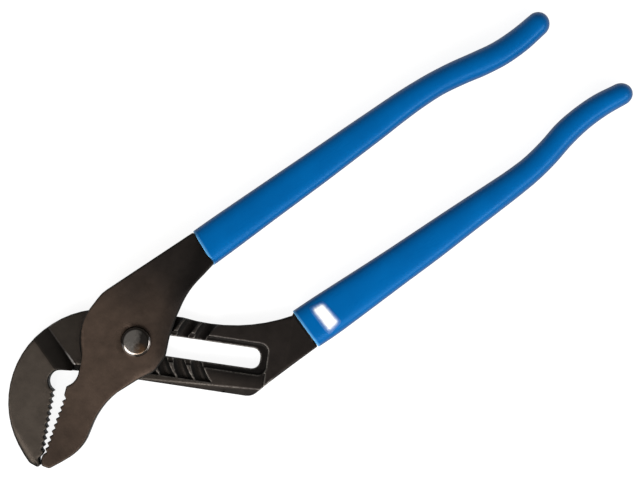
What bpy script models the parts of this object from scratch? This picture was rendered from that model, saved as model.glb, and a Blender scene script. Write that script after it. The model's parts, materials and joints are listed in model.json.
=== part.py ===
"""Tongue and groove pliers, 12 inch class, jaws closed on the first of seven grooves.

Frame: the pivot axis is Z, the resting plane is z = 0, the handles run towards +X and the
bolt's domed head faces up. "Along" is the direction of the slot in the channel jaw's arm,
"across" is square to it, towards the tongue jaw's handle. Outlines are written in
millimetres and turned into metres once, in plate() and loft().
"""
import math

import bmesh
import bpy
import numpy as np
from mathutils import Matrix, Vector

MM = 0.001
OBJECT_NAME = "tongue_and_groove_pliers"

# Heights of the stack, mm above the resting plane.
UNDERSIDE = 1.2
LAP_PLANE = 7.4
TOP_FACE = 13.6
MIDDLE = (UNDERSIDE + TOP_FACE) / 2
GAP = 0.3
HEAD_HEIGHT = 2.7

# The slot and what slides in it.
SLOT_ANGLE = math.radians(-43.5)
SLOT_WIDTH = 9.1
SLOT_END = 54.9
TRACK_WIDTH = 13.9
TRACK_END = 57.9
TRACK_ROOF = 3.3
RECESS_FLOOR = 5.8
ARM_LOWER_EDGE = -16.6
ARM_UPPER_EDGE = 13.1
LOWER_RAIL_TOP = 6.6
BEVEL_SKEW = math.radians(3.1)

# Seven positions of the pivot, one groove for each.
POSITIONS = 7
PITCH = 7.8
MAX_OPENING = 50.0
GROOVE_INNER = 17.5
GROOVE_OUTER = 22.9
GROOVE_FLOOR = 4.3
GROOVE_START = -48.0
GROOVE_REACH = 13.2
TONGUE_CLEARANCE = 0.4
TONGUE_START = -40.0
TONGUE_END = -16.0

# The pivot.
SHANK_RADIUS = 4.2
HEAD_RADIUS = 6.7
BOSS_RADIUS = 6.6
NUT_RADIUS = 7.6
NUT_FLATS = 13.3
NUT_HEIGHT = TRACK_ROOF - GAP

# Teeth: first tip, direction of the row, pitch, depth and count.
TOOTH_DEPTH = 1.45
CHANNEL_TEETH = {"start": (-41.9, 3.0), "angle": 225.2, "pitch": 2.72, "count": 11, "side": -1}
TONGUE_TEETH = {"start": (-39.3, -1.0), "angle": 215.3, "pitch": 2.77, "count": 11, "side": 1}

# Handles: (x, lower edge, upper edge) along each vinyl grip, before its rounded end.
TONGUE_GRIP = [(48.2, 7.9, 25.4), (57, 8.1, 25.4), (80, 8.8, 25.1), (110, 9.6, 24.6),
               (140, 10.8, 24.2), (162, 11.7, 23.6), (174, 11.2, 22.6), (186, 9.1, 20.8),
               (197, 6.8, 18.6), (207, 5.9, 17.2), (216, 6.2, 17.3), (225, 7.4, 18.0)]
TONGUE_GRIP_END = 230.3
CHANNEL_GRIP = [(64.2, -48.1, -28.6), (73, -48.3, -28.8), (90, -47.9, -29.5),
                (112, -47.2, -30.4), (131, -46.7, -30.9), (149, -45.8, -31.4),
                (170, -44.8, -32.1), (183, -44.0, -32.2), (194, -42.4, -30.8),
                (205, -39.7, -28.1), (216, -37.9, -26.9), (227, -37.6, -27.0),
                (237, -38.5, -28.5)]
CHANNEL_GRIP_END = 242.4
GRIP_HALF_HEIGHT = 6.4
GRIP_END_HALF_HEIGHT = 5.6
GRIP_WALL = 1.3
CORE_INSET = 2.0
STATION_SPACING = 10.0
GRIP_DOME = 5.4
GRIP_POINTS = 20
CORE_POINTS = 12
SQUARENESS = 2.9

STEEL = (0.045, 0.034, 0.026, 1.0)
POLISHED_STEEL = (0.16, 0.15, 0.14, 1.0)
BLUE = (0.0, 0.115, 0.37, 1.0)


# ---------------------------------------------------------------- outlines, in mm

def at_slot(along, across):
    """A point given along and across the slot, measured from the pivot's first position."""
    cosine, sine = math.cos(SLOT_ANGLE), math.sin(SLOT_ANGLE)
    return (along * cosine - across * sine, along * sine + across * cosine)


def arc(centre, radius, start, end, steps):
    """Points on an arc, ends included, with its angles in degrees."""
    angles = np.radians(np.linspace(start, end, steps + 1))
    return [(centre[0] + radius * math.cos(a), centre[1] + radius * math.sin(a)) for a in angles]


def polar(radius, degrees):
    """A point at a distance and direction from the pivot."""
    return (radius * math.cos(math.radians(degrees)), radius * math.sin(math.radians(degrees)))


def rounded(corners, step=18, chord=2.0):
    """Corners (x, y) or (x, y, radius) turned into points, with an arc at each radius.

    An arc turns by at most about step degrees a point, and runs at most about chord mm. The
    first and the last corner of an open run carry no radius.
    """
    points = []
    count = len(corners)
    for index, corner in enumerate(corners):
        here = Vector(corner[:2])
        if len(corner) == 2:
            points.append(tuple(here))
            continue
        radius = corner[2]
        back = (Vector(corners[index - 1][:2]) - here).normalized()
        ahead = (Vector(corners[(index + 1) % count][:2]) - here).normalized()
        half = back.angle(ahead) / 2
        centre = here + (back + ahead).normalized() * radius / math.sin(half)
        first = here + back * radius / math.tan(half) - centre
        turn = first.angle_signed(here + ahead * radius / math.tan(half) - centre)
        pieces = max(2, round(abs(math.degrees(turn)) / step), round(abs(turn) * radius / chord))
        start = math.atan2(first.y, first.x)
        for part in range(pieces + 1):
            angle = start - turn * part / pieces
            points.append((centre.x + radius * math.cos(angle), centre.y + radius * math.sin(angle)))
    return points


def teeth(row):
    """Tips and valleys of one row of teeth; side says where the jaw's own steel lies."""
    angle = math.radians(row["angle"])
    ahead = Vector((math.cos(angle), math.sin(angle)))
    inward = Vector((-ahead.y, ahead.x)) * row["side"]
    points = []
    for index in range(row["count"]):
        tip = Vector(row["start"]) + ahead * row["pitch"] * index
        points.append(tuple(tip))
        if index < row["count"] - 1:
            points.append(tuple(tip + ahead * row["pitch"] / 2 + inward * TOOTH_DEPTH))
    return points


def slot_outline(start, end, width, corner):
    """A slot along the arm, with rounded corners."""
    half = width / 2
    ends = [(start, half), (start, -half), (end, -half), (end, half)]
    return rounded([(*at_slot(*point), corner) for point in ends])


def sector(position, inner, outer, start, ends, steps):
    """Ring sector round one pivot position, angles from the direction back along the slot.

    ends holds the angles at which the inner and the outer arc stop.
    """
    back = 180 + math.degrees(SLOT_ANGLE)
    centre = at_slot(position, 0)
    return (arc(centre, outer, back + start, back + ends[1], steps)
            + arc(centre, inner, back + ends[0], back + start, steps))


def channel_jaw_outline():
    """Silhouette of the channel jaw: hooked head, slotted arm and the root of its handle."""
    hook = arc((-27.8, -13.2), 41.0, 42, 172, 20)
    tip = rounded([(-68.9, -12.0), (-69.0, -16.6, 3.0), (-67.1, -20.4, 1.0),
                   (-65.5, -20.1, 0.4), (-64.4, -17.3), (-62.7, -17.0)])
    throat = arc((-37.5, 5.1), 4.9, 203, math.degrees(SLOT_ANGLE) + 90, 8)
    arm = rounded([at_slot(-20, ARM_LOWER_EDGE), (27.2, -49.2, 6.0), (37.0, -48.4, 12.0),
                   (63.9, -47.6), (63.9, -29.2)])
    shoulder = arc((83.5, 43.7), 76.8, 254.2, 217.5, 8)
    bend = rounded([shoulder[-1], (*at_slot(3.0, ARM_UPPER_EDGE), 6.0), hook[0]])[1:-1]
    return hook + tip + teeth(CHANNEL_TEETH)[::-1] + throat + arm + shoulder + bend


def tongue_jaw_outline():
    """Silhouette of the tongue jaw: handle root, round front, toothed jaw and chin."""
    top = rounded([(47.9, 24.9), (0.0, 26.2, 14.0), (-8.3, 23.5)])[:-1]
    front = arc((0, 0), 25.0, 109, 160, 8)
    throat = arc((-33.9, 9.0), 7.8, -42, -108, 5)
    ahead = teeth(TONGUE_TEETH)[-1]
    tip = rounded([ahead, (-63.5, -18.0, 0.4), (-65.3, -20.7, 0.8), (-63.2, -23.7, 1.6),
                   (-56.6, -24.5)])[1:]
    chin = arc((-51.8, -4.9), 19.9, 268, 306, 5) + arc((-18.5, -47.3), 33.8, 121, 92, 5)
    flank = rounded([(-9.3, -14.1), (-1.0, -15.4, 5.0), (6.7, -12.8, 6.0), (13.2, -6.6, 25.0),
                     (20.6, -1.3, 12.0), (31.0, 5.0, 40.0), (47.9, 8.5)])
    lead_in = [(-25.4, 6.2)]
    return top + front + lead_in + throat + teeth(TONGUE_TEETH) + tip + chin + flank


def lap_outline():
    """Where the tongue jaw is thinned to lap over the arm; it leaves the toothed jaw whole.

    One side runs beside the arm's lower edge with the jaws closed, the other does so with
    them fully open, so both stay at the same distance from the pivot.
    """
    distance = 0.6 - ARM_LOWER_EDGE
    closed = math.degrees(SLOT_ANGLE) - 90
    opened = closed - MAX_OPENING
    corner = polar(distance / math.cos(math.radians(MAX_OPENING / 2)), (closed + opened) / 2)
    foot = polar(distance, opened)
    reach = polar(40, opened + 90)
    return [(foot[0] + reach[0], foot[1] + reach[1]), corner, at_slot(-60, -distance),
            (-60, 60), (34, 60), (34, -60)]


# ---------------------------------------------------------------- solids

def new_object(name, mesh, collection):
    obj = bpy.data.objects.new(name, mesh)
    collection.objects.link(obj)
    return obj


def plate(name, outline, low, high, collection):
    """A flat outline in mm, filled and raised from low to high, as a mesh."""
    curve = bpy.data.curves.new(name, "CURVE")
    curve.dimensions = "2D"
    curve.fill_mode = "BOTH"
    curve.extrude = (high - low) / 2 * MM
    spline = curve.splines.new("POLY")
    spline.points.add(len(outline) - 1)
    spline.use_cyclic_u = True
    for point, (x, y) in zip(spline.points, outline):
        point.co = (x * MM, y * MM, 0, 1)
    guide = new_object(name + "_guide", curve, collection)
    guide.location.z = (low + high) / 2 * MM
    graph = bpy.context.evaluated_depsgraph_get()
    mesh = bpy.data.meshes.new_from_object(guide.evaluated_get(graph))
    mesh.transform(Matrix.Translation(guide.location))
    bpy.data.objects.remove(guide)
    bpy.data.curves.remove(curve)
    weld(mesh)
    return new_object(name, mesh, collection)


def weld(mesh):
    """Joins the caps to the sides and points every face outwards."""
    work = bmesh.new()
    work.from_mesh(mesh)
    bmesh.ops.remove_doubles(work, verts=work.verts, dist=0.00001)
    bmesh.ops.recalc_face_normals(work, faces=work.faces)
    work.to_mesh(mesh)
    work.free()


def bar(name, section, start, end, angle, collection):
    """A prism: a section (along its own X, height) drawn out sideways from start to end."""
    obj = plate(name, section, start, end, collection)
    stand_up = Matrix.Rotation(math.pi / 2, 4, "X")
    obj.data.transform(Matrix.Rotation(angle, 4, "Z") @ stand_up)
    return obj


def spline_values(table, x):
    """Lower and upper edge of a handle at x, on a smooth curve through its table."""
    xs = np.array([row[0] for row in table], float)
    values = np.array([row[1:] for row in table], float)
    slopes = np.gradient(values, xs, axis=0)
    x = min(max(x, xs[0]), xs[-1])
    index = min(int(np.searchsorted(xs, x, side="right")) - 1, len(xs) - 2)
    width = xs[index + 1] - xs[index]
    u = (x - xs[index]) / width
    return ((2 * u**3 - 3 * u**2 + 1) * values[index] + (u**3 - 2 * u**2 + u) * width * slopes[index]
            + (3 * u**2 - 2 * u**3) * values[index + 1] + (u**3 - u**2) * width * slopes[index + 1])


def handle_rings(table, end, start, inset, count, spacing):
    """Rings of points along a handle, inset from the grip's surface, closing in a dome."""
    last = table[-1][0]
    straight = np.linspace(start, end - GRIP_DOME, max(3, round((end - start) / spacing)))
    dome = [end - GRIP_DOME * (1 - math.sin(math.radians(a))) for a in (25, 48, 68, 82)]
    rings = []
    for x in [*straight, *dome]:
        low, high = spline_values(table, min(x, last))
        share = (x - table[0][0]) / (end - table[0][0])
        half_height = GRIP_HALF_HEIGHT + (GRIP_END_HALF_HEIGHT - GRIP_HALF_HEIGHT) * max(share, 0)
        closing = max(0.0, (x - (end - GRIP_DOME)) / GRIP_DOME)
        shrink = math.sqrt(1 - closing**2)
        half_width = ((high - low) / 2 - inset) * shrink
        ring = []
        for angle in np.linspace(0, 2 * math.pi, count, endpoint=False):
            c, s = math.cos(angle), math.sin(angle)
            y = (low + high) / 2 + math.copysign(abs(c) ** (2 / SQUARENESS), c) * half_width
            z = MIDDLE + math.copysign(abs(s) ** (2 / SQUARENESS), s) * (half_height - inset) * shrink
            ring.append((x * MM, y * MM, z * MM))
        rings.append(ring)
    return rings


def loft(name, rings, close_start, collection):
    """A skin over rings of equal point count, closed at its far end."""
    work = bmesh.new()
    rows = [[work.verts.new(point) for point in ring] for ring in rings]
    for row, following in zip(rows, rows[1:]):
        for index in range(len(row)):
            other = (index + 1) % len(row)
            work.faces.new((row[index], row[other], following[other], following[index]))
    work.faces.new(rows[-1])
    if close_start:
        work.faces.new(rows[0][::-1])
    bmesh.ops.recalc_face_normals(work, faces=work.faces)
    mesh = bpy.data.meshes.new(name)
    work.to_mesh(mesh)
    work.free()
    return new_object(name, mesh, collection)


def boolean(target, tool, operation):
    """Joins a tool to a target or cuts it away, and hides the tool."""
    modifier = target.modifiers.new(tool.name, "BOOLEAN")
    modifier.operation = operation
    modifier.solver = "EXACT"
    modifier.object = tool
    tool.hide_render = True
    tool.display_type = "WIRE"


def material(name, colour, roughness, metallic):
    result = bpy.data.materials.new(name)
    result.use_nodes = True
    shader = result.node_tree.nodes["Principled BSDF"]
    shader.inputs["Base Color"].default_value = colour
    shader.inputs["Roughness"].default_value = roughness
    shader.inputs["Metallic"].default_value = metallic
    return result


def finish(obj, look):
    obj.data.materials.clear()
    obj.data.materials.append(look)
    obj.data.shade_smooth()
    obj.data.set_sharp_from_angle(angle=math.radians(35))


# ---------------------------------------------------------------- pieces

def channel_jaw(parts, tools):
    """The forging with the hooked jaw, the slotted arm with its grooves, and a handle core."""
    body = plate("channel_jaw", channel_jaw_outline(), UNDERSIDE, TOP_FACE, parts)
    above = TOP_FACE + 4
    wall_foot, wall_top = -28.5, -35.6
    slope = (wall_top - wall_foot) / (TOP_FACE - LAP_PLANE)
    lap = [(wall_foot, LAP_PLANE), (wall_foot + slope * (above - LAP_PLANE), above),
           (12, above), (12, LAP_PLANE)]
    boolean(body, bar("cut_head_wall", lap, -60, 60, 0, tools), "DIFFERENCE")
    ramp = [(-12, LAP_PLANE), (66.5, LAP_PLANE), (96.5, LAP_PLANE + 10.5), (-12, LAP_PLANE + 10.5)]
    boolean(body, bar("cut_arm_top", ramp, -70, 70, SLOT_ANGLE, tools), "DIFFERENCE")
    rail = [at_slot(*point) for point in ((-22, -6), (-22, -30), (TRACK_END, -30), (TRACK_END, -6))]
    boolean(body, plate("cut_lower_rail", rail, LOWER_RAIL_TOP, 9.7, tools), "DIFFERENCE")
    recess = slot_outline(-8.4, TRACK_END, TRACK_WIDTH, 3.5)
    boolean(body, plate("cut_recess", recess, RECESS_FLOOR, 9.1, tools), "DIFFERENCE")
    boolean(body, plate("cut_nut_track", recess, UNDERSIDE - 2, TRACK_ROOF, tools), "DIFFERENCE")
    slot = slot_outline(-SLOT_WIDTH / 2 - 0.1, SLOT_END, SLOT_WIDTH, 3.6)
    boolean(body, plate("cut_slot", slot, UNDERSIDE - 3, 10.3, tools), "DIFFERENCE")
    stops = [math.degrees(math.asin(GROOVE_REACH / radius)) for radius in (GROOVE_INNER, GROOVE_OUTER)]
    for index in range(POSITIONS):
        groove = sector(index * PITCH, GROOVE_INNER, GROOVE_OUTER, GROOVE_START, stops, 14)
        cutter = plate(f"cut_groove_{index + 1}", groove, GROOVE_FLOOR, 8.7, tools)
        boolean(body, cutter, "DIFFERENCE")
    edge = [(-15.2, LAP_PLANE), (-20.2, 3.4), (-20.2, 9.9), (-15.2, 9.9)]
    bevel = bar("cut_edge_bevel", edge, -27, 58, SLOT_ANGLE + math.pi / 2 + BEVEL_SKEW, tools)
    boolean(body, bevel, "DIFFERENCE")
    brow = [(-13.8, LAP_PLANE), (-17.8, 2.4), (-17.8, 9.9), (-13.8, 9.9)]
    boolean(body, bar("cut_throat_bevel", brow, -26.0, -10, SLOT_ANGLE + math.pi / 2, tools),
            "DIFFERENCE")
    rings = handle_rings(CHANNEL_GRIP, CHANNEL_GRIP_END - 3, 63.4, CORE_INSET,
                         CORE_POINTS, STATION_SPACING)
    boolean(body, loft("join_channel_core", rings, True, tools), "UNION")
    return body


def tongue_jaw(parts, tools):
    """The forging with the lower jaw, the lap plate with its tongue, and a handle core."""
    body = plate("tongue_jaw", tongue_jaw_outline(), UNDERSIDE, TOP_FACE, parts)
    lap_face = LAP_PLANE + GAP
    boolean(body, plate("cut_lap", lap_outline(), UNDERSIDE - 2, lap_face, tools), "DIFFERENCE")
    ramp = [(33.5, lap_face), (33.5, -2.5), (44.0, -2.5)]
    boolean(body, bar("cut_handle_ramp", ramp, -60, 60, 0, tools), "DIFFERENCE")
    boss = plate("join_boss", arc((0, 0), BOSS_RADIUS, 0, 345, 23), RECESS_FLOOR + GAP,
                 lap_face + 1, tools)
    boolean(body, boss, "UNION")
    tongue = sector(0, GROOVE_INNER + TONGUE_CLEARANCE, GROOVE_OUTER - TONGUE_CLEARANCE,
                    TONGUE_START, (TONGUE_END, TONGUE_END), 6)
    ridge = plate("join_tongue", tongue, GROOVE_FLOOR + GAP, lap_face + 1, tools)
    boolean(body, ridge, "UNION")
    rings = handle_rings(TONGUE_GRIP, TONGUE_GRIP_END - 3, 46.5, CORE_INSET,
                         CORE_POINTS, STATION_SPACING)
    boolean(body, loft("join_tongue_core", rings, True, tools), "UNION")
    hole = arc((0, 0), SHANK_RADIUS + GAP, 0, 345, 23)
    boolean(body, plate("cut_bolt_hole", hole, 0, TOP_FACE + 3, tools), "DIFFERENCE")
    return body


def grip(name, table, end, parts):
    """A vinyl sleeve: an open skin over one handle, thickened inwards."""
    rings = handle_rings(table, end, table[0][0], 0, GRIP_POINTS, STATION_SPACING)
    sleeve = loft(name, rings, False, parts)
    wall = sleeve.modifiers.new("wall", "SOLIDIFY")
    wall.thickness = GRIP_WALL * MM
    wall.offset = -1
    wall.use_even_offset = True
    return sleeve


def pivot_bolt(parts):
    """Domed bolt, turned about the pivot axis."""
    seat = TOP_FACE + GAP
    profile = [(HEAD_RADIUS * math.sin(a), seat + HEAD_HEIGHT * (0.25 + 0.75 * math.cos(a)))
               for a in np.radians(np.linspace(0, 90, 9))]
    profile += [(HEAD_RADIUS, seat), (SHANK_RADIUS, seat), (SHANK_RADIUS, 0.4),
                (SHANK_RADIUS - 0.4, 0), (0, 0)]
    mesh = bpy.data.meshes.new("pivot_bolt")
    edges = [(index, index + 1) for index in range(len(profile) - 1)]
    mesh.from_pydata([(r * MM, 0, z * MM) for r, z in profile], edges, [])
    bolt = new_object("pivot_bolt", mesh, parts)
    screw = bolt.modifiers.new("turn", "SCREW")
    screw.steps = screw.render_steps = 32
    screw.use_merge_vertices = True
    screw.merge_threshold = 0.00005
    screw.use_smooth_shade = True
    return bolt


def pivot_nut(parts, tools):
    """Round nut with two flats, which run along the track and keep it from turning."""
    half_angle = math.degrees(math.asin(NUT_FLATS / 2 / NUT_RADIUS))
    turn = math.degrees(SLOT_ANGLE)
    ends = (arc((0, 0), NUT_RADIUS, turn - half_angle, turn + half_angle, 8)
            + arc((0, 0), NUT_RADIUS, turn + 180 - half_angle, turn + 180 + half_angle, 8))
    nut = plate("pivot_nut", ends, 0, NUT_HEIGHT, parts)
    hole = arc((0, 0), SHANK_RADIUS + GAP, 0, 348.75, 31)
    boolean(nut, plate("cut_nut_hole", hole, -1, NUT_HEIGHT + 1, tools), "DIFFERENCE")
    return nut


def main():
    for obj in list(bpy.data.objects):
        bpy.data.objects.remove(obj)
    parts = bpy.data.collections.new(OBJECT_NAME)
    tools = bpy.data.collections.new("cutters")
    for collection in (parts, tools):
        bpy.context.scene.collection.children.link(collection)
    steel = material("black_oxide_steel", STEEL, 0.5, 0.7)
    polished = material("polished_steel", POLISHED_STEEL, 0.25, 1.0)
    vinyl = material("blue_vinyl", BLUE, 0.35, 0.0)
    finish(channel_jaw(parts, tools), steel)
    finish(tongue_jaw(parts, tools), steel)
    finish(grip("channel_grip", CHANNEL_GRIP, CHANNEL_GRIP_END, parts), vinyl)
    finish(grip("tongue_grip", TONGUE_GRIP, TONGUE_GRIP_END, parts), vinyl)
    finish(pivot_bolt(parts), polished)
    finish(pivot_nut(parts, tools), steel)


main()
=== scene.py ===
"""Looks of the tongue and groove pliers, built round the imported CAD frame.

Lengths are metres in the row frame: the pivot axis is Z, the handles run towards +X, and the
tool lies on its pivot's lower end at z = 0. The two forgings are remeshed from their CAD
solids and eased at their edges, the vinyl grips are lofted through the CAD sleeves' rings.
"""
import json
import math

import bmesh
import bpy
import numpy as np
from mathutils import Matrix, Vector
from mathutils.kdtree import KDTree


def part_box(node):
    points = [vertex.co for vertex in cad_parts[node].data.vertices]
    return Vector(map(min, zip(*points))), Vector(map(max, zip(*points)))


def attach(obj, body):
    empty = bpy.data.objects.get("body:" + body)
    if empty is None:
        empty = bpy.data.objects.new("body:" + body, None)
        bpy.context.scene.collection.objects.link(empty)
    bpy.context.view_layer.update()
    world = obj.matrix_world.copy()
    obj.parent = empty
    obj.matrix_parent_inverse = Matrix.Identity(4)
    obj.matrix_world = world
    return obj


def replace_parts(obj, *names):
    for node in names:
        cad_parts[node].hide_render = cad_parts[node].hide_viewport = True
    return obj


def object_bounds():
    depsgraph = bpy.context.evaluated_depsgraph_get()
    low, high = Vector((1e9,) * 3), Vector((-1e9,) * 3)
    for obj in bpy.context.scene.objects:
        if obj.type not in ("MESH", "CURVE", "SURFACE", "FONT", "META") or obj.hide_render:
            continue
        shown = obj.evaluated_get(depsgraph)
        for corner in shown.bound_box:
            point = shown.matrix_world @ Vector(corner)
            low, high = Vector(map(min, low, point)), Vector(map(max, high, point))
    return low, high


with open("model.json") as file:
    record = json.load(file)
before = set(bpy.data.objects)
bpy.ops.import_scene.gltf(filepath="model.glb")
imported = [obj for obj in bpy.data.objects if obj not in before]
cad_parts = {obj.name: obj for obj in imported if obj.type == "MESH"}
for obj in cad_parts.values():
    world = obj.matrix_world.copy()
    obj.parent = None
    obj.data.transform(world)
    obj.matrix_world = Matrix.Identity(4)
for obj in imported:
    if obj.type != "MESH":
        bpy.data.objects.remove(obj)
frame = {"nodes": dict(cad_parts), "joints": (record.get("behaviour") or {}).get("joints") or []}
CAD_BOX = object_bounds()
MM = 0.001

# ---------------------------------------------------------------- measures from the frame

HEAD_LOW, HEAD_HIGH = (Vector(corner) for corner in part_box("tongue_jaw"))
TOP_FACE = HEAD_HIGH.z
UNDERSIDE = HEAD_LOW.z
BOLT_HIGH = Vector(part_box("pivot_bolt")[1])
BOLT_RADIUS = BOLT_HIGH.x
GRIP_FRONT = {node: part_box(node)[0][0] for node in ("channel_grip", "tongue_grip")}
SLIDE = next(joint for joint in frame["joints"] if joint["name"] == "jaw_adjust")
SLOT = Vector(SLIDE["axis"])
GROOVES = 7
GROOVE_PITCH = SLIDE["range_m"][1] / (GROOVES - 1)

# ---------------------------------------------------------------- camera, floor and light

VIEW_ROLL = math.radians(-35.1)
VIEW_OFFSET = (0.00505, 0.0007)
VIEW_HEIGHT = 1.5
VIEW_PLANE = 0.012
VIEW_WIDTH = 0.2811
SENSOR = 36.0


def camera():
    """Straight down on the tool, rolled so that its handles rise to the picture's right."""
    centre = (Vector(CAD_BOX[0]) + Vector(CAD_BOX[1])) / 2
    data = bpy.data.cameras.new("camera")
    data.sensor_width = SENSOR
    data.lens = SENSOR * VIEW_HEIGHT / VIEW_WIDTH
    obj = bpy.data.objects.new("camera", data)
    obj.location = (centre.x + VIEW_OFFSET[0], centre.y + VIEW_OFFSET[1], VIEW_HEIGHT + VIEW_PLANE)
    obj.rotation_euler = (0, 0, VIEW_ROLL)
    bpy.context.scene.collection.objects.link(obj)
    bpy.context.scene.camera = obj


def area_light(name, place, target, size, power, colour=(1, 1, 1)):
    data = bpy.data.lights.new(name, "AREA")
    data.shape = "RECTANGLE"
    data.size, data.size_y = size
    data.energy = power
    data.color = colour
    obj = bpy.data.objects.new(name, data)
    obj.location = target + Vector(place)
    obj.rotation_euler = (-Vector(place)).to_track_quat("-Z", "Y").to_euler()
    obj.visible_camera = False
    bpy.context.scene.collection.objects.link(obj)


SKY_SIDE = 0.38
SKY_TOP = 0.12
SKY_FALL = (0.45, 0.90)
FLOOR_GLOW = 0.90
FLOOR_HALF = 3.0
FLOOR_GAP = 0.2 * MM


def surroundings():
    """Soft grey all round, dimmer straight above where the camera looks from."""
    world = bpy.data.worlds.new("surroundings")
    world.use_nodes = True
    tree = world.node_tree
    direction = tree.nodes.new("ShaderNodeTexCoord").outputs["Generated"]
    split = tree.nodes.new("ShaderNodeSeparateXYZ")
    tree.links.new(direction, split.inputs["Vector"])
    fall = tree.nodes.new("ShaderNodeMapRange")
    fall.interpolation_type = "SMOOTHSTEP"
    for name, value in (("From Min", SKY_FALL[0]), ("From Max", SKY_FALL[1]),
                        ("To Min", SKY_SIDE), ("To Max", SKY_TOP)):
        fall.inputs[name].default_value = value
    tree.links.new(split.outputs["Z"], fall.inputs["Value"])
    background = tree.nodes["Background"]
    background.inputs["Color"].default_value = (1, 1, 1, 1)
    tree.links.new(fall.outputs["Result"], background.inputs["Strength"])
    bpy.context.scene.world = world


def floor():
    """White acrylic, lit a little from below so that shadows stay faint."""
    corners = [(-FLOOR_HALF, -FLOOR_HALF, 0), (FLOOR_HALF, -FLOOR_HALF, 0),
               (FLOOR_HALF, FLOOR_HALF, 0), (-FLOOR_HALF, FLOOR_HALF, 0)]
    mesh = bpy.data.meshes.new("floor")
    mesh.from_pydata(corners, [], [(0, 1, 2, 3)])
    obj = bpy.data.objects.new("floor", mesh)
    obj.location.z = -FLOOR_GAP
    paint = bpy.data.materials.new("floor_paint")
    paint.use_nodes = True
    shader = paint.node_tree.nodes["Principled BSDF"]
    shader.inputs["Base Color"].default_value = (0.22, 0.22, 0.22, 1)
    shader.inputs["Roughness"].default_value = 0.9
    shader.inputs["Specular IOR Level"].default_value = 0.0
    shader.inputs["Emission Color"].default_value = (1, 1, 1, 1)
    shader.inputs["Emission Strength"].default_value = FLOOR_GLOW
    mesh.materials.append(paint)
    bpy.context.scene.collection.objects.link(obj)


def studio():
    """A soft box over the jaws' side, one along the handles, a low strip and a small card."""
    bpy.context.scene.view_settings.view_transform = "Standard"
    surroundings()
    floor()
    jaws, handles = Vector((-0.01, 0, 0)), Vector((0.14, -0.01, 0))
    area_light("jaw_key", (-0.555, -0.20, 0.66), jaws, (0.55, 0.55), 5.2, (1.0, 0.97, 0.94))
    area_light("grip_key", (-0.52, -0.84, 0.90), handles, (0.9, 0.5), 9.2)
    area_light("low_strip", (0.20, -0.93, 0.50), handles, (0.5, 0.24), 3.3)
    area_light("card", (0.56, -0.50, 0.34), jaws, (0.30, 0.30), 1.3)


# ---------------------------------------------------------------- materials

class Shading:
    """A Principled material and short ways to add and join its nodes."""

    def __init__(self, name):
        self.material = bpy.data.materials.new(name)
        self.material.use_nodes = True
        self.tree = self.material.node_tree
        self.shader = self.tree.nodes["Principled BSDF"]
        self.place = self.tree.nodes.new("ShaderNodeTexCoord").outputs["Object"]

    def node(self, kind, inputs=None, **settings):
        made = self.tree.nodes.new("ShaderNode" + kind)
        for key, value in settings.items():
            setattr(made, key, value)
        for key, value in (inputs or {}).items():
            self.put(made.inputs[key], value)
        return made

    def put(self, socket, value):
        if isinstance(value, bpy.types.NodeSocket):
            self.tree.links.new(value, socket)
        else:
            socket.default_value = value

    def set(self, **values):
        for key, value in values.items():
            self.put(self.shader.inputs[key.replace("_", " ")], value)

    def attribute(self, name):
        return self.node("Attribute", attribute_name=name).outputs["Fac"]

    def along(self, direction, start=(0.0, 0.0)):
        """Distance of each place from start along a direction in the plane of the tool."""
        inputs = {0: self.place, 1: (direction[0], direction[1], 0.0)}
        dot = self.node("VectorMath", inputs, operation="DOT_PRODUCT").outputs["Value"]
        return self.math("SUBTRACT", dot, direction[0] * start[0] + direction[1] * start[1])

    def product(self, *factors):
        result = factors[0]
        for factor in factors[1:]:
            result = self.math("MULTIPLY", result, factor)
        return result

    def noise(self, scale, detail=3.0, roughness=0.5, stretch=None):
        place = self.place
        if stretch:
            place = self.node("Mapping", {"Vector": place, "Scale": stretch}).outputs["Vector"]
        inputs = {"Vector": place, "Scale": scale, "Detail": detail, "Roughness": roughness}
        return self.node("TexNoise", inputs).outputs["Fac"]

    def range(self, value, low, high, to_low=0.0, to_high=1.0):
        inputs = {"Value": value, "From Min": low, "From Max": high, "To Min": to_low,
                  "To Max": to_high}
        return self.node("MapRange", inputs).outputs["Result"]

    def math(self, operation, first, second):
        return self.node("Math", {0: first, 1: second}, operation=operation).outputs["Value"]

    def mix(self, factor, first, second):
        node = self.node("Mix", data_type="RGBA")
        for socket, value in ((0, factor), (6, first), (7, second)):
            self.put(node.inputs[socket], value)
        return node.outputs[2]

    def bump(self, height, distance, under=None):
        inputs = {"Height": height, "Distance": distance, "Strength": 1.0}
        if under is not None:
            inputs["Normal"] = under
        return self.node("Bump", inputs).outputs["Normal"]


# The brown flats fade to a black painted shade towards the handles; the flank colour is forged
# scale and painted shade on slopes; the worn colour is rubbed wear and painted highlight; the bare
# colour is a painted highlight line.
BROWN = {"channel": (0.064, 0.052, 0.042, 1), "tongue": (0.073, 0.050, 0.037, 1)}
SHADED_BLACK = (0.0200, 0.0158, 0.0136, 1)
FLANK_SCALE_AND_SHADE = (0.010, 0.009, 0.008, 1)
WORN_AND_HIGHLIT = (0.24, 0.22, 0.20, 1)
FOOT_HIGHLIGHT = (0.72, 0.69, 0.66, 1)
BROWN_TO_BLACK = (-0.004, 0.034)
FLANK_LINE = ((0.0068, -0.0130), (-0.597, 0.802))
FOOT_LINE = -0.0283


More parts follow.
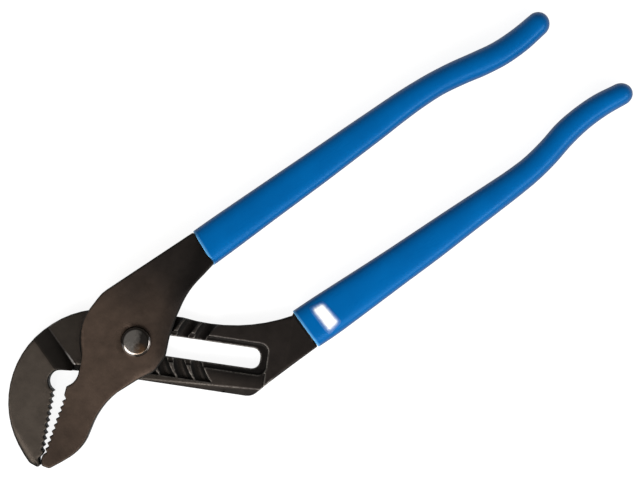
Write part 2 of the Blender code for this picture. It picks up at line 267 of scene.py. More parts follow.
def channel_painted_light(look, height):
    """Painted shade on the lower rail, darkest beside the slot, and a painted highlight along the
    wall's foot.
    """
    along = look.along(SLOT)
    across = look.along((-SLOT.y, SLOT.x))
    # Painted shade: a dark band on the lower rail beside the slot.
    beside = look.product(look.range(across, -0.0114, -0.0080),
                          look.range(across, -0.0040, -0.0046),
                          look.range(along, 0.029, 0.034), look.range(height, 0.0073, 0.0070))
    # Painted highlight: a thin bright line along the wall's foot.
    off = look.math("ABSOLUTE", look.along((1, 0), (FOOT_LINE, 0)), 0.0)
    foot = look.product(look.range(off, 0.00048, 0.00018), look.range(height, 0.0083, 0.0079),
                        look.range(height, 0.0068, 0.0072),
                        look.range(look.along((0, 1)), 0.0095, 0.0150, 0.75, 0.04))
    return look.range(beside, 0.0, 1.0, 1.0, 0.42), foot


def tongue_painted_light(look):
    """Painted shade on the lap plate, darker by the flank over the slot and at the jaw's tip; no
    painted highlight.
    """
    start, inward = FLANK_LINE
    # Painted shade: darker along the flank over the slot.
    flank = look.range(look.along(inward, start), 0.0, 0.0085, 0.62, 0.0)
    flank = look.product(flank, look.range(look.along((1, 0)), -0.008, 0.004))
    # Painted shade: darker towards the jaw's tip.
    tip = look.range(look.along((1, 0)), -0.055, -0.033, 0.62, 1.0)
    return look.product(look.range(flank, 0.0, 1.0, 1.0, 0.0), tip), 0.0


def forged_steel(half):
    """Black oxide over a forging.

    The ground flats are drawn brown round the jaws and fade to black towards the handles as a
    painted shade; the flanks are drawn much darker, as forged scale and as painted shade on
    slopes; and the working edges are drawn bright, as rubbed wear and as painted highlights.
    """
    look = Shading(f"{half}_forged_steel")
    split = look.node("SeparateXYZ", {"Vector": look.place})
    mottle = look.noise(150, 6.0, 0.62)
    cloud = look.noise(38, 2.0, 0.5)
    grain = look.noise(2400, 2.0, 0.6)
    peel = look.noise(520, 3.0, 0.55)
    edge = look.attribute("edge")
    flat = look.attribute("flat")
    rubbed_and_highlit = look.math("MULTIPLY", edge, look.range(look.noise(700, 4.0, 0.7), 0.30, 0.60))
    if half == "channel":
        shade, painted_highlight = channel_painted_light(look, split.outputs["Z"])
    else:
        shade, painted_highlight = tongue_painted_light(look)
    # Painted shade: the flats darken from brown to black towards the handles.
    drift = look.math("ADD", split.outputs["X"], look.range(cloud, 0.3, 0.7, -0.008, 0.008))
    painted_dark = look.node("MapRange", {"Value": drift, "From Min": BROWN_TO_BLACK[0],
                        "From Max": BROWN_TO_BLACK[1]}, interpolation_type="SMOOTHSTEP")
    base = look.mix(painted_dark.outputs["Result"], BROWN[half], SHADED_BLACK)
    # Painted shade stored on the mesh darkens the lap, the recess, the grooves and the ramp.
    shade = look.product(shade, look.range(mottle, 0.3, 0.7, 0.86, 1.12), look.attribute("painted_shade"))
    base = look.node("VectorMath", {0: base, "Scale": shade}, operation="SCALE").outputs["Vector"]
    # Forged scale and painted shade: faces that are not flat take the much darker flank colour.
    base = look.mix(flat, FLANK_SCALE_AND_SHADE, base)
    # Rubbed edges drawn bright, as wear and as painted highlights.
    base = look.mix(look.range(rubbed_and_highlit, 0.0, 1.0, 0.0, 0.85), base, WORN_AND_HIGHLIT)
    # Painted highlight along the wall's foot.
    base = look.mix(painted_highlight, base, FOOT_HIGHLIGHT)
    gloss = look.range(mottle, 0.25, 0.75, 0.44, 0.54)
    gloss = look.math("ADD", gloss, look.range(flat, 0.0, 1.0, 0.22, 0.0))
    gloss = look.math("SUBTRACT", gloss, look.range(rubbed_and_highlit, 0.0, 1.0, 0.0, 0.15))
    normal = look.bump(peel, 0.00004)
    normal = look.bump(grain, 0.000012, normal)
    look.set(Base_Color=base, Roughness=gloss, Metallic=0.85, Normal=normal)
    return look.material


# Painted reflections on the bolt's face: a light side, brown and dark parts, a shaded rim and light
# glints.
BOLT_PAINTED_LIGHT = (0.72, 0.66, 0.60, 1)
BOLT_PAINTED_BROWN = (0.42, 0.24, 0.13, 1)
BOLT_PAINTED_DARK = (0.13, 0.115, 0.10, 1)
BOLT_RIM_SHADE = (0.036, 0.030, 0.025, 1)
BOLT_PAINTED_GLINT = (0.60, 0.56, 0.53, 1)


def polished_bolt():
    """Turned and polished head with faint rings from the lathe.

    Its face carries painted reflections, light on one side and brown and black on the other, with
    painted shade round the rim and two painted glints on it.
    """
    look = Shading("polished_bolt")
    split = look.node("SeparateXYZ", {"Vector": look.place})
    flat = look.node("Mapping", {"Vector": look.place, "Scale": (1, 1, 0)}).outputs["Vector"]
    radius = look.node("VectorMath", {0: flat}, operation="LENGTH")
    rings = look.node("TexNoise", {"W": look.math("MULTIPLY", radius.outputs["Value"], 9000.0),
                      "Scale": 1.0}, noise_dimensions="1D").outputs["Fac"]
    # Painted reflection: light on one side of the face, brown and dark on the other.
    smear = look.range(look.noise(330, 3.0, 0.55), 0.3, 0.7, -0.0022, 0.0022)
    side = look.math("ADD", look.math("SUBTRACT", split.outputs["X"], split.outputs["Y"]), smear)
    lower = look.math("ADD", look.math("ADD", split.outputs["X"], split.outputs["Y"]), smear)
    painted_dark = look.mix(look.range(lower, -0.0035, 0.0015), BOLT_PAINTED_BROWN, BOLT_PAINTED_DARK)
    base = look.mix(look.range(side, -0.001, 0.0035), BOLT_PAINTED_LIGHT, painted_dark)
    # Painted shade round the rim, broken by two painted glints.
    rim = look.range(radius.outputs["Value"], 0.0050, 0.0055)
    glint_mask = look.math("MAXIMUM", look.range(look.along((-0.978, -0.208)), 0.0044, 0.0062),
                      look.range(look.along((0.743, -0.669)), 0.0054, 0.0064))
    base = look.mix(rim, base, look.mix(glint_mask, BOLT_RIM_SHADE, BOLT_PAINTED_GLINT))
    gloss = look.range(look.noise(900, 4.0, 0.6), 0.3, 0.7, 0.10, 0.20)
    look.set(Base_Color=base, Roughness=gloss, Metallic=1.0, Normal=look.bump(rings, 0.000004))
    return look.material


BLUE_DEEP = (0.0, 0.096, 0.315, 1)
BLUE_LIGHT = (0.0, 0.110, 0.352, 1)
BLUE_LIP_PALE_AND_LIT = (0.13, 0.40, 0.68, 1)
BLUE_UNDER_INK = (0.0, 0.105, 0.35, 1)


def blue_vinyl():
    """Dipped vinyl: even blue, with painted shade down the sides, softly glossy, slightly rippled.
    """
    look = Shading("blue_vinyl")
    shade = look.noise(60, 4.0, 0.6)
    ripple = look.noise(180, 2.0, 0.5, (0.5, 1, 1))
    lip = look.range(look.attribute("lip"), 0.0, 1.0, 0.0, 0.75)
    facing = look.node("SeparateXYZ", {"Vector": look.node("TexCoord").outputs["Normal"]})
    level = look.math("ABSOLUTE", facing.outputs["Z"], 0.0)
    # Painted shade: the blue darkens down the sides, as they turn away from facing up.
    side = look.range(level, 0.90, 0.20, 1.0, 0.38)
    peel = look.noise(1300, 2.0, 0.5)
    scuff = look.noise(240, 8.0, 0.75, (0.25, 1, 1))
    base = look.mix(look.range(shade, 0.3, 0.7), BLUE_DEEP, BLUE_LIGHT)
    base = look.node("VectorMath", {0: base, "Scale": side}, operation="SCALE").outputs["Vector"]
    # The lip is drawn paler, as stretched vinyl and as a painted highlight.
    base = look.mix(lip, base, BLUE_LIP_PALE_AND_LIT)
    gloss = look.range(scuff, 0.35, 0.75, 0.26, 0.34)
    gloss = look.math("ADD", gloss, look.range(level, 0.50, 0.12, 0.0, 0.30))
    normal = look.bump(ripple, 0.00005)
    normal = look.bump(peel, 0.000003, normal)
    look.set(Base_Color=base, Roughness=gloss, Normal=normal, Specular_IOR_Level=0.20,
             Specular_Tint=(0.30, 0.68, 1.0, 1))
    return look.material


def white_ink():
    """Printed white panel, slightly thin in places and fading out along its border."""
    look = Shading("white_ink")
    speck = look.noise(900, 5.0, 0.7)
    base = look.mix(look.range(speck, 0.55, 0.85), (0.97, 0.98, 1.0, 1), (0.74, 0.81, 0.90, 1))
    cover = look.math("ADD", look.attribute("cover"), look.range(speck, 0.3, 0.7, -0.08, 0.08))
    cover = look.math("POWER", look.range(cover, 0.05, 0.95), 2.2)
    base = look.mix(cover, BLUE_UNDER_INK, base)
    look.set(Base_Color=base, Roughness=look.range(speck, 0.3, 0.7, 0.36, 0.5),
             Normal=look.bump(look.noise(1300, 2.0, 0.5), 0.000004))
    return look.material


# ---------------------------------------------------------------- mesh work

VOXEL = 0.24 * MM
EASING_STEPS = 5
SOFT_STEPS = 40
TEETH_KEPT = 0.75
BULGE_START, BULGE_SPAN = 0.012, 0.07
LEAST_WEAR = 0.06
MOST_FACES = 92000


def cad_copy(node):
    """The CAD node's shape as a joined bmesh."""
    work = bmesh.new()
    work.from_mesh(frame["nodes"][node].data)
    bmesh.ops.remove_doubles(work, verts=work.verts, dist=0.001 * MM)
    return work


def to_object(name, work):
    mesh = bpy.data.meshes.new(name)
    work.to_mesh(mesh)
    work.free()
    obj = bpy.data.objects.new(name, mesh)
    bpy.context.scene.collection.objects.link(obj)
    return obj


def cut_square(work, x, keep_low):
    """Cuts square across the handle at x and closes the cut."""
    everything = work.verts[:] + work.edges[:] + work.faces[:]
    bmesh.ops.bisect_plane(work, geom=everything, plane_co=(x, 0, 0), plane_no=(1, 0, 0),
                           clear_outer=keep_low, clear_inner=not keep_low)
    rim = [edge for edge in work.edges if edge.is_boundary]
    bmesh.ops.contextual_create(work, geom=rim)
    bmesh.ops.triangulate(work, faces=[face for face in work.faces if len(face.verts) > 4])


def remesh(obj):
    """Replaces a mesh by an even skin of small quads."""
    modifier = obj.modifiers.new("remesh", "REMESH")
    modifier.mode = "VOXEL"
    modifier.voxel_size = VOXEL
    graph = bpy.context.evaluated_depsgraph_get()
    fine = bpy.data.meshes.new_from_object(obj.evaluated_get(graph))
    obj.modifiers.clear()
    old = obj.data
    obj.data = fine
    bpy.data.meshes.remove(old)


def mesh_arrays(mesh):
    points = np.empty(len(mesh.vertices) * 3)
    mesh.vertices.foreach_get("co", points)
    normals = np.empty(len(mesh.vertices) * 3)
    mesh.vertices.foreach_get("normal", normals)
    return points.reshape(-1, 3), normals.reshape(-1, 3)


def edge_pairs(mesh):
    pairs = np.empty(len(mesh.edges) * 2, int)
    mesh.edges.foreach_get("vertices", pairs)
    return pairs.reshape(-1, 2)


def neighbour_mean(values, pairs):
    """Mean of each vertex's neighbours."""
    total = np.zeros_like(values)
    np.add.at(total, pairs[:, 0], values[pairs[:, 1]])
    np.add.at(total, pairs[:, 1], values[pairs[:, 0]])
    count = np.bincount(pairs.ravel(), minlength=len(values)).astype(float)
    return total / (count[:, None] if values.ndim > 1 else count)


def put_points(mesh, points):
    mesh.vertices.foreach_set("co", points.ravel())
    mesh.update()


def store(mesh, name, values):
    mesh.attributes.new(name, "FLOAT", "POINT").data.foreach_set("value", values)


def ease_rims(mesh, rim_shape):
    """Rounds the top and bottom faces down towards their outer walls.

    rim_shape(places, directions) gives each wall point's rounding width and drop, and the power
    of its profile: 2 is an ellipse, less starts to fall sooner.
    """
    points, normals = mesh_arrays(mesh)
    for level, sign in ((TOP_FACE, 1.0), (UNDERSIDE, -1.0)):
        depth = (level - points[:, 2]) * sign
        upright = abs(normals[:, 2]) < 0.4
        wall = np.flatnonzero((depth < 2.0 * MM) & (depth > 0.4 * MM) & upright)
        width, drop, power = rim_shape(points[wall], normals[wall])
        tree = KDTree(len(wall))
        for index, (x, y, _) in enumerate(points[wall]):
            tree.insert((x, y, 0), index)
        tree.balance()
        for index in np.flatnonzero(depth < 2.5 * MM):
            x, y, _ = points[index]
            _, closest, distance = tree.find((x, y, 0))
            if distance < width[closest]:
                share = 1 - distance / width[closest]
                lowest = drop[closest] * (1 - math.sqrt(1 - min(1.0, share) ** power[closest]))
                points[index, 2] = level - sign * max(depth[index], lowest)
    put_points(mesh, points)


def soften(mesh, weight, steps):
    """Smooths a mesh where weight(points) is above zero."""
    points, _ = mesh_arrays(mesh)
    pairs = edge_pairs(mesh)
    share = weight(points)[:, None] * 0.5
    for _ in range(steps):
        points = points + (neighbour_mean(points, pairs) - points) * share
    put_points(mesh, points)


def mark_edges(mesh, wear):
    """Stores how sharply each vertex bulges, which the steel's rubbed edges and their painted
    highlights follow.
    """
    points, normals = mesh_arrays(mesh)
    pairs = edge_pairs(mesh)
    bulge = ((points - neighbour_mean(points, pairs)) * normals).sum(1) / VOXEL
    for _ in range(2):
        bulge = (bulge + neighbour_mean(bulge, pairs)) / 2
    store(mesh, "edge", np.clip((bulge - BULGE_START) / BULGE_SPAN, 0, 1) * wear(points))


def mark_faces(mesh, painted_shade=None):
    """Stores how flat the steel lies and how dark its painted shade is there.

    The shade function, from points and normals, gives the painted shade's brightness and the least
    flatness to count with.
    """
    points, normals = mesh_arrays(mesh)
    bright, least = painted_shade(points, normals) if painted_shade else (np.ones(len(points)), 0.0)
    store(mesh, "flat", np.maximum(smooth_step(abs(normals[:, 2]), 0.78, 0.985), least))
    store(mesh, "painted_shade", bright)


def thin_out(obj):
    """Keeps a forging within the number of faces that the exported model may have."""
    if len(obj.data.polygons) > MOST_FACES:
        modifier = obj.modifiers.new("thin", "DECIMATE")
        modifier.ratio = MOST_FACES / len(obj.data.polygons)
        graph = bpy.context.evaluated_depsgraph_get()
        thin = bpy.data.meshes.new_from_object(obj.evaluated_get(graph))
        obj.modifiers.clear()
        obj.data = thin


def forging(name, node, body, cut, looks):
    """A forged half, from the CAD solid up to just inside its grip.

    looks holds the half's steel, its row of teeth and its functions: rim for its edges, wear for
    where they are rubbed and drawn bright and, where it needs them, shape for its working faces,
    soft for what is smoothed and tone for its painted shade.
    """
    work = cad_copy(node)
    cut_square(work, cut, True)
    obj = to_object(name, work)
    remesh(obj)
    if "shape" in looks:
        looks["shape"](obj.data)
    ease_rims(obj.data, looks["rim"])
    remesh(obj)
    soften(obj.data, lambda points: 1 - TEETH_KEPT * by_teeth(points, looks["teeth"]), EASING_STEPS)
    if "soft" in looks:
        soften(obj.data, looks["soft"], SOFT_STEPS)
    mark_edges(obj.data, looks["wear"])
    mark_faces(obj.data, looks.get("painted_shade"))
    thin_out(obj)
    obj.data.shade_smooth()
    obj.data.materials.append(looks["steel"])
    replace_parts(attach(obj, body), node)


def smooth_step(values, low, high):
    share = np.clip((values - low) / (high - low), 0, 1)
    return share * share * (3 - 2 * share)


def near(values, middle, reach):
    """1 at middle, falling smoothly to 0 at reach from it."""
    return 1 - smooth_step(abs(values - middle), 0, reach)


def by_teeth(points, row):
    """1 along a row of teeth, 0 further than 2.6 mm from it; row is its start and its end."""
    start, end = np.array(row) * MM
    ahead = end - start
    share = np.clip(((points[:, :2] - start) @ ahead) / (ahead @ ahead), 0, 1)
    gap = np.hypot(*(points[:, :2] - start - share[:, None] * ahead).T)
    return 1 - smooth_step(gap, 1.6 * MM, 2.6 * MM)


# ---------------------------------------------------------------- channel half

CHANNEL_TEETH = ((-41.9, 3.0), (-61.1, -16.3))
GROOVE_INNER = 17.5 * MM
GROOVE_OUTER = 22.9 * MM
GROOVE_FLOOR = 4.3 * MM
SCOOP_RISE = 1.9 * MM
SCOOP_POWER = 2.4
WALL_FOOT = -28.5 * MM
WALL_TOP = -35.6 * MM
RAMP_HALF = 4.3 * MM
RAMP_HEIGHT = 7.6 * MM
BEVEL_HEIGHT = 7.8 * MM


def slot_places(points):
    """Each point's distances along and across the slot, from the pivot at rest."""
    along = points[:, 0] * SLOT.x + points[:, 1] * SLOT.y
    across = -points[:, 0] * SLOT.y + points[:, 1] * SLOT.x
    return along, across


def channel_shape(mesh):
    """Scoops the grooves' floors, so that thin ridges stand between them."""
    points, normals = mesh_arrays(mesh)
    along, across = slot_places(points)
    for index in range(GROOVES):
        radius = np.hypot(along - index * GROOVE_PITCH, across)
        share = (radius - GROOVE_INNER) / (GROOVE_OUTER - GROOVE_INNER)
        level = (abs(points[:, 2] - GROOVE_FLOOR) < 0.2 * MM) & (normals[:, 2] > 0.5)
        inside = level & (share > 0) & (share < 1) & (along < index * GROOVE_PITCH)
        points[inside, 2] += SCOOP_RISE * abs(2 * share[inside] - 1) ** SCOOP_POWER
    put_points(mesh, points)


def channel_rim(places, directions):
    """Hook: a wider round towards the tip of its back, small rounds elsewhere."""
    back = smooth_step(-directions[:, 0], 0.2, 0.8) * smooth_step(-places[:, 1], -8 * MM, 12 * MM)
    inner = smooth_step(directions[:, 0], 0.1, 0.6) * (places[:, 0] < -20 * MM)
    plain = 1 - 0.6 * by_teeth(places, CHANNEL_TEETH)
    width = (0.8 + 3.2 * back + 0.6 * inner) * plain * MM
    return width, (0.4 + 1.3 * back + 0.6 * inner) * plain * MM, np.full(len(places), 2.0)


def channel_soft(points):
    """The wall beside the lap is round at its top, and the arm rises softly to the handle."""
    along, _ = slot_places(points)
    brow = near(points[:, 0], WALL_TOP - 0.6 * MM, 3.2 * MM)
    brow *= smooth_step(points[:, 2], 11 * MM, 12 * MM)
    rise = near(along, 68 * MM, 9 * MM) * smooth_step(points[:, 2], 6.4 * MM, 7.2 * MM)
    return np.clip(brow + rise, 0, 1)


def channel_wear(points):
    """Edges rub where the tongue half slides: by the slot, the grooves and the wall's foot; the
    bright wear there is also painted highlight.
    """
    along, across = slot_places(points)
    arm = smooth_step(along, -16 * MM, -10 * MM) * smooth_step(-along, -64 * MM, -60 * MM)
    arm *= smooth_step(-abs(across), -16.4 * MM, -14.5 * MM)
    arm *= 1 - 0.8 * smooth_step(across, 5.5 * MM, 8 * MM)
    brow = near(points[:, 0], WALL_FOOT + 3 * MM, 5 * MM)
    brow *= smooth_step(-points[:, 2], -8 * MM, -7.6 * MM)
    return np.clip(LEAST_WEAR + (1 - LEAST_WEAR) * arm + brow, 0, 1)


def channel_vertex_shade(points, normals):
    """Painted shade: the lap near the tongue half is darkest, so are the recess and the grooves'
    ends, the ramp is darker too, and it and the rail's bevel count as partly flat.
    """
    x, z = points[:, 0], points[:, 2]
    up = smooth_step(normals[:, 2], 0.4, 0.8)
    lap = up * smooth_step(-z, -8.3 * MM, -7.7 * MM) * smooth_step(-x, -12 * MM, 0)
    deep = up * smooth_step(-z, -6.3 * MM, -6.0 * MM)
    _, across = slot_places(points)
    slope = smooth_step(normals[:, 2], 0.6, 0.7)
    ramp = slope * (abs(x - (WALL_FOOT + WALL_TOP) / 2) < RAMP_HALF) * (z > RAMP_HEIGHT)
    bevel = slope * smooth_step(-across, 12 * MM, 13 * MM) * (z < BEVEL_HEIGHT)
    bright = (1 - 0.45 * lap) * (1 - 0.6 * deep) * (1 - 0.55 * ramp)
    return bright, np.maximum(0.6 * ramp, 0.85 * bevel)


# ---------------------------------------------------------------- tongue half

TONGUE_TEETH = ((-39.3, -1.0), (-59.6, -15.4))


def tongue_rim(places, directions):
    """Lap plate: a broad soft fall along the flank over the slot, small rounds elsewhere."""
    facing = directions[:, 0] * 0.63 - directions[:, 1] * 0.77
    flank = smooth_step(facing, 0.2, 0.8) * smooth_step(places[:, 0], -20 * MM, 2 * MM)
    flank *= 1 - smooth_step(places[:, 0], 20 * MM, 36 * MM)
    front = smooth_step(-directions[:, 0], 0.5, 0.9) * smooth_step(places[:, 1], 6 * MM, 12 * MM)
    plain = 1 - 0.6 * by_teeth(places, TONGUE_TEETH)
    width = (0.8 + 4.7 * flank + 1.7 * front) * plain * MM
    return width, (0.4 + 1.1 * flank + 1.3 * front) * plain * MM, 2.0 - 0.6 * flank


def tongue_wear(points):
    """Its edges are rubbed evenly and only a little, drawn slightly bright as wear and as painted
    highlight.
    """
    return np.full(len(points), LEAST_WEAR)


# ---------------------------------------------------------------- handles

CORE_START = 4 * MM


def handle_core(name, node, body, cut, look):
    """The rest of a forged half: the core hidden in its grip."""
    work = cad_copy(node)
    cut_square(work, cut, False)
    obj = to_object(name, work)
    mark_faces(obj.data)
    obj.data.materials.append(look)
    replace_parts(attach(obj, body), node)


# ---------------------------------------------------------------- grips

DOME = 5.4 * MM
GRIP_WALL = 1.3 * MM
SQUARENESS = (3.0, 2.1)
SQUARE_FALL = (0.09, 0.19)
FRONT_SHEAR = {"tongue_grip": 0.063, "channel_grip": -0.018}
SHEAR_FADE = 14 * MM
RING_POINTS = 56
RING_SPACING = 1.6 * MM
CORE_RING = 60
LIP = 0.7 * MM


def cad_rings(node):
    """(x, low y, high y, low z, high z) of each ring of a CAD sleeve's outer skin."""
    points, _ = mesh_arrays(frame["nodes"][node].data)
    steps = np.round(points[:, 0], 6)
    rings = []
    for x in np.unique(steps):
        ring = points[steps == x]
        if len(ring) > CORE_RING:
            (low_y, low_z), (high_y, high_z) = ring[:, 1:].min(0), ring[:, 1:].max(0)
            rings.append((x, low_y, high_y, low_z, high_z))
    return np.array(rings)


class Sleeve:
    """Surface of one grip: a smooth loft through the CAD sleeve's rings, with a domed end."""

    def __init__(self, node):
        self.front, self.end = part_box(node)[0][0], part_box(node)[1][0]
        self.shear = FRONT_SHEAR[node]
        rings = cad_rings(node)
        self.rings = rings[rings[:, 0] < self.end - DOME + 0.1 * MM]
        self.slopes = np.gradient(self.rings[:, 1:], self.rings[:, 0], axis=0)

    def section(self, x):
        """Centre and half sizes of the section at x, before the dome closes it."""
        xs = self.rings[:, 0]
        inside = min(max(x, xs[0]), xs[-1])
        index = min(int(np.searchsorted(xs, inside, side="right")) - 1, len(xs) - 2)
        width = xs[index + 1] - xs[index]
        u = (inside - xs[index]) / width
        low, high = self.rings[index, 1:], self.rings[index + 1, 1:]
        edges = ((2 * u**3 - 3 * u**2 + 1) * low + (3 * u**2 - 2 * u**3) * high
                 + (u**3 - 2 * u**2 + u) * width * self.slopes[index]
                 + (u**3 - u**2) * width * self.slopes[index + 1])
        low_y, high_y, low_z, high_z = edges + self.slopes[-1] * 0.5 * (x - inside)
        return ((low_y + high_y) / 2, (high_y - low_y) / 2,
                (low_z + high_z) / 2, (high_z - low_z) / 2)

    def closing(self, x):
        share = max(0.0, (x - (self.end - DOME)) / DOME)
        return math.sqrt(max(0.0, 1 - share**2))

    def squareness(self, x):
        """Power of the section: boxy at the mouth, nearly round towards the end."""
        share = float(smooth_step(x, *SQUARE_FALL))
        return SQUARENESS[0] + (SQUARENESS[1] - SQUARENESS[0]) * share

    def point(self, x, angle, inset=0.0):
        centre_y, half_y, centre_z, half_z = self.section(x)
        shrink, power = self.closing(x), 2 / self.squareness(x)
        c, s = math.cos(angle), math.sin(angle)
        y = centre_y + math.copysign(abs(c) ** power, c) * (half_y * shrink - inset)
        z = centre_z + math.copysign(abs(s) ** power, s) * (half_z * shrink - inset)
        fade = max(0.0, 1 - (x - self.front) / SHEAR_FADE)
        lean = self.shear * (y - centre_y) - abs(self.shear) * half_y
        return Vector((x + lean * fade, y, z))

    def top(self, x, y):
        """Height of the upper surface over a place."""
        centre_y, half_y, centre_z, half_z = self.section(x)
        share, power = min(1.0, abs(y - centre_y) / half_y), self.squareness(x)
        return centre_z + half_z * (1 - share**power) ** (1 / power)


def grip(name, node, body, look):
    """Vinyl sleeve with a rounded lip at its mouth and a domed end, hollow inside."""
    sleeve = Sleeve(node)
    angles = np.linspace(0, 2 * math.pi, RING_POINTS, endpoint=False)
    stations = [(sleeve.front + 6 * MM, GRIP_WALL), (sleeve.front + 0.25 * MM, GRIP_WALL)]
    middle, radius = LIP * 0.5 + 0.02 * MM, LIP * 0.5
    for turn in np.radians(np.linspace(-80, 80, 7)):
        stations.append((sleeve.front + middle - radius * math.cos(turn),
                         middle - radius * math.sin(turn)))
    stations.append((sleeve.front + 1.3 * MM, 0.0))
    straight = sleeve.end - DOME - sleeve.front - 2 * MM
    count = round(straight / RING_SPACING)
    stations += [(sleeve.front + 2 * MM + straight * step / count, 0.0)
                 for step in range(count + 1)]
    stations += [(sleeve.end - DOME * (1 - math.sin(math.radians(turn))), 0.0)
                 for turn in range(10, 90, 10)]
    work = bmesh.new()
    rows = [[work.verts.new(sleeve.point(x, angle, inset)) for angle in angles]
            for x, inset in stations]
    for row, following in zip(rows, rows[1:]):
        for index in range(RING_POINTS):
            other = (index + 1) % RING_POINTS
            work.faces.new((row[index], following[index], following[other], row[other]))
    centre_y, _, centre_z, _ = sleeve.section(sleeve.end)
    tip = work.verts.new((sleeve.end, centre_y, centre_z))
    for index in range(RING_POINTS):
        work.faces.new((rows[-1][index], tip, rows[-1][(index + 1) % RING_POINTS]))
    work.faces.new(rows[0])
    bmesh.ops.recalc_face_normals(work, faces=work.faces)
    obj = to_object(name, work)
    # This band at the mouth is drawn paler, partly as a painted highlight.
    lip = [1 - float(smooth_step(x, sleeve.front + 0.2 * MM, sleeve.front + 0.7 * MM))
           for x, _ in stations for _ in angles] + [0.0]
    store(obj.data, "lip", lip)
    obj.data.shade_smooth()
    obj.data.materials.append(look)
    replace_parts(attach(obj, body), node)
    return sleeve


PANEL_PLACE = (10.1 * MM, -0.8 * MM)
PANEL_STEPS = (28, 44)
PANEL_HALF = (4.1 * MM, 6.9 * MM)
PANEL_TURN = math.radians(4.7)
PANEL_SLANT = {(-1, 1): (0.5, 1.6), (1, -1): (0.3, 1.0)}    # shift of these corners, in mm
PANEL_LIFT = 0.03 * MM
PANEL_BORDER = 2.2 * MM


def print_panel(sleeve, body, look):
    """Blank white panel printed on the channel grip, near its mouth."""
    steps = PANEL_STEPS
    middle = sleeve.front + PANEL_PLACE[0]
    centre_y = sleeve.section(middle)[0] + PANEL_PLACE[1]
    work = bmesh.new()
    rows, cover = [], []
    for i in range(steps[0] + 1):
        row = []
        for j in range(steps[1] + 1):
            u, v = 2 * i / steps[0] - 1, 2 * j / steps[1] - 1
            px = u * math.sqrt(1 - 0.22 * v**6) * PANEL_HALF[0]
            py = v * math.sqrt(1 - 0.12 * u**6) * PANEL_HALF[1]
            slant = Vector((0, 0))
            for (side, end), shift in PANEL_SLANT.items():
                slant += Vector(shift) * MM * (1 + side * u) * (1 + end * v) / 4
            x = middle + px * math.cos(PANEL_TURN) - py * math.sin(PANEL_TURN) + slant.x
            y = centre_y + px * math.sin(PANEL_TURN) + py * math.cos(PANEL_TURN) + slant.y
            row.append(work.verts.new((x, y, sleeve.top(x, y) + PANEL_LIFT)))
            insets = ((1 - abs(u)) * PANEL_HALF[0], (1 - abs(v)) * PANEL_HALF[1])
            cover.append(math.prod(min(1.0, inset / PANEL_BORDER) for inset in insets))
        rows.append(row)
    for row, following in zip(rows, rows[1:]):
        for j in range(steps[1]):
            work.faces.new((row[j], following[j], following[j + 1], row[j + 1]))
    bmesh.ops.recalc_face_normals(work, faces=work.faces)
    obj = to_object("grip_print_panel", work)
    store(obj.data, "cover", cover)
    thickness = obj.modifiers.new("ink", "SOLIDIFY")
    thickness.thickness = 0.05 * MM
    thickness.offset = -1
    obj.data.shade_smooth()
    obj.data.materials.append(look)
    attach(obj, body)


# ---------------------------------------------------------------- pivot

SHOULDER = 1.95 * MM
DOME_TILT = math.radians(6)
SEAT_GAP = 0.15 * MM
SHANK = 4.2 * MM
END_CHAMFER = 0.5 * MM
END_HOLLOW = [(2.2 * MM, 0), (1.6 * MM, 0.35 * MM), (0, 0.5 * MM)]


def lathe(name, profile, steps=72):
    """Turns a profile of (radius, height), from the top of the axis to its bottom."""
    work = bmesh.new()
    rows = []
    for radius, height in profile:
        if radius == 0:
            rows.append([work.verts.new((0, 0, height))])
            continue
        angles = [2 * math.pi * step / steps for step in range(steps)]
        rows.append([work.verts.new((radius * math.cos(a), radius * math.sin(a), height))
                     for a in angles])
    for row, following in zip(rows, rows[1:]):
        for index in range(steps):
            other = (index + 1) % steps
            corners = [row[index % len(row)], following[index % len(following)],
                       following[other % len(following)], row[other % len(row)]]
            work.faces.new(list(dict.fromkeys(corners)))
    bmesh.ops.recalc_face_normals(work, faces=work.faces)
    return to_object(name, work)


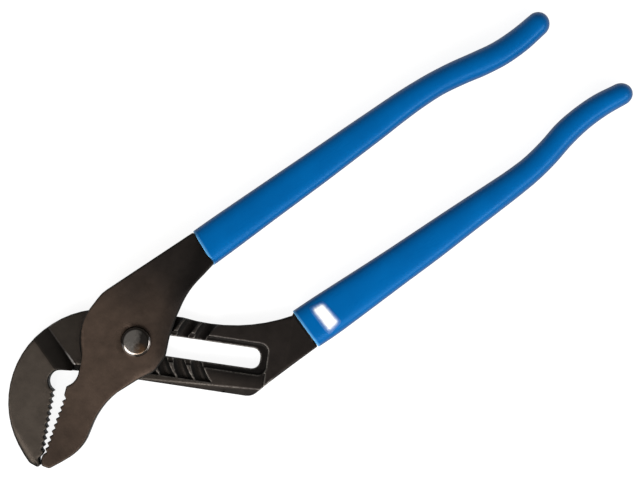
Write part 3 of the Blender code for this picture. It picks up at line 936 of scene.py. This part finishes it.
def pivot_bolt(look):
    """Low dome with a round shoulder, plain shank and a chamfered lower end."""
    top, radius = BOLT_HIGH.z, BOLT_RADIUS
    seat = TOP_FACE + SEAT_GAP
    dome = (radius - SHOULDER * (1 - math.sin(DOME_TILT))) / math.sin(DOME_TILT)
    profile = [(dome * math.sin(a), top - dome * (1 - math.cos(a)))
               for a in np.linspace(0, DOME_TILT, 10)]
    centre = profile[-1][1] - SHOULDER * math.cos(DOME_TILT)
    profile += [(radius - SHOULDER * (1 - math.sin(a)), centre + SHOULDER * math.cos(a))
                for a in np.linspace(DOME_TILT, math.pi / 2, 14)[1:]]
    profile += [(radius, seat + 0.2 * MM), (radius - 0.2 * MM, seat), (SHANK, seat),
                (SHANK, END_CHAMFER), (SHANK - END_CHAMFER, 0)] + END_HOLLOW
    obj = lathe("pivot_bolt_turned", profile)
    obj.data.shade_smooth()
    obj.data.set_sharp_from_angle(angle=math.radians(40))
    obj.data.materials.append(look)
    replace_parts(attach(obj, "pivot"), "pivot_bolt")


def pivot_nut(look):
    """The CAD nut with its sharp edges broken."""
    work = cad_copy("pivot_nut")
    bmesh.ops.dissolve_limit(work, angle_limit=math.radians(3), verts=work.verts, edges=work.edges)
    sharp = [edge for edge in work.edges if edge.calc_face_angle(0) > math.radians(60)]
    bmesh.ops.bevel(work, geom=sharp, offset=0.25 * MM, segments=3, affect="EDGES", profile=0.5)
    obj = to_object("pivot_nut_eased", work)
    obj.data.shade_smooth()
    obj.data.set_sharp_from_angle(angle=math.radians(30))
    mark_faces(obj.data)
    obj.data.materials.append(look)
    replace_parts(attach(obj, "pivot"), "pivot_nut")


# ---------------------------------------------------------------- the scene


def main():
    camera()
    studio()
    vinyl = blue_vinyl()
    halves = {
        "channel": {"rim": channel_rim, "shape": channel_shape, "soft": channel_soft,
                    "wear": channel_wear, "painted_shade": channel_vertex_shade, "teeth": CHANNEL_TEETH,
                    "steel": forged_steel("channel")},
        "tongue": {"rim": tongue_rim, "wear": tongue_wear, "teeth": TONGUE_TEETH,
                   "steel": forged_steel("tongue")},
    }
    cuts = {half: GRIP_FRONT[f"{half}_grip"] + CORE_START for half in halves}
    for half, looks in halves.items():
        forging(f"{half}_jaw_forging", f"{half}_jaw", f"{half}_half", cuts[half], looks)
    for half, looks in halves.items():
        handle_core(f"{half}_handle_core", f"{half}_jaw", f"{half}_half", cuts[half],
                    looks["steel"])
    lower = grip("channel_grip_sleeve", "channel_grip", "channel_half", vinyl)
    grip("tongue_grip_sleeve", "tongue_grip", "tongue_half", vinyl)
    print_panel(lower, "channel_half", white_ink())
    pivot_bolt(polished_bolt())
    pivot_nut(halves["tongue"]["steel"])


main()
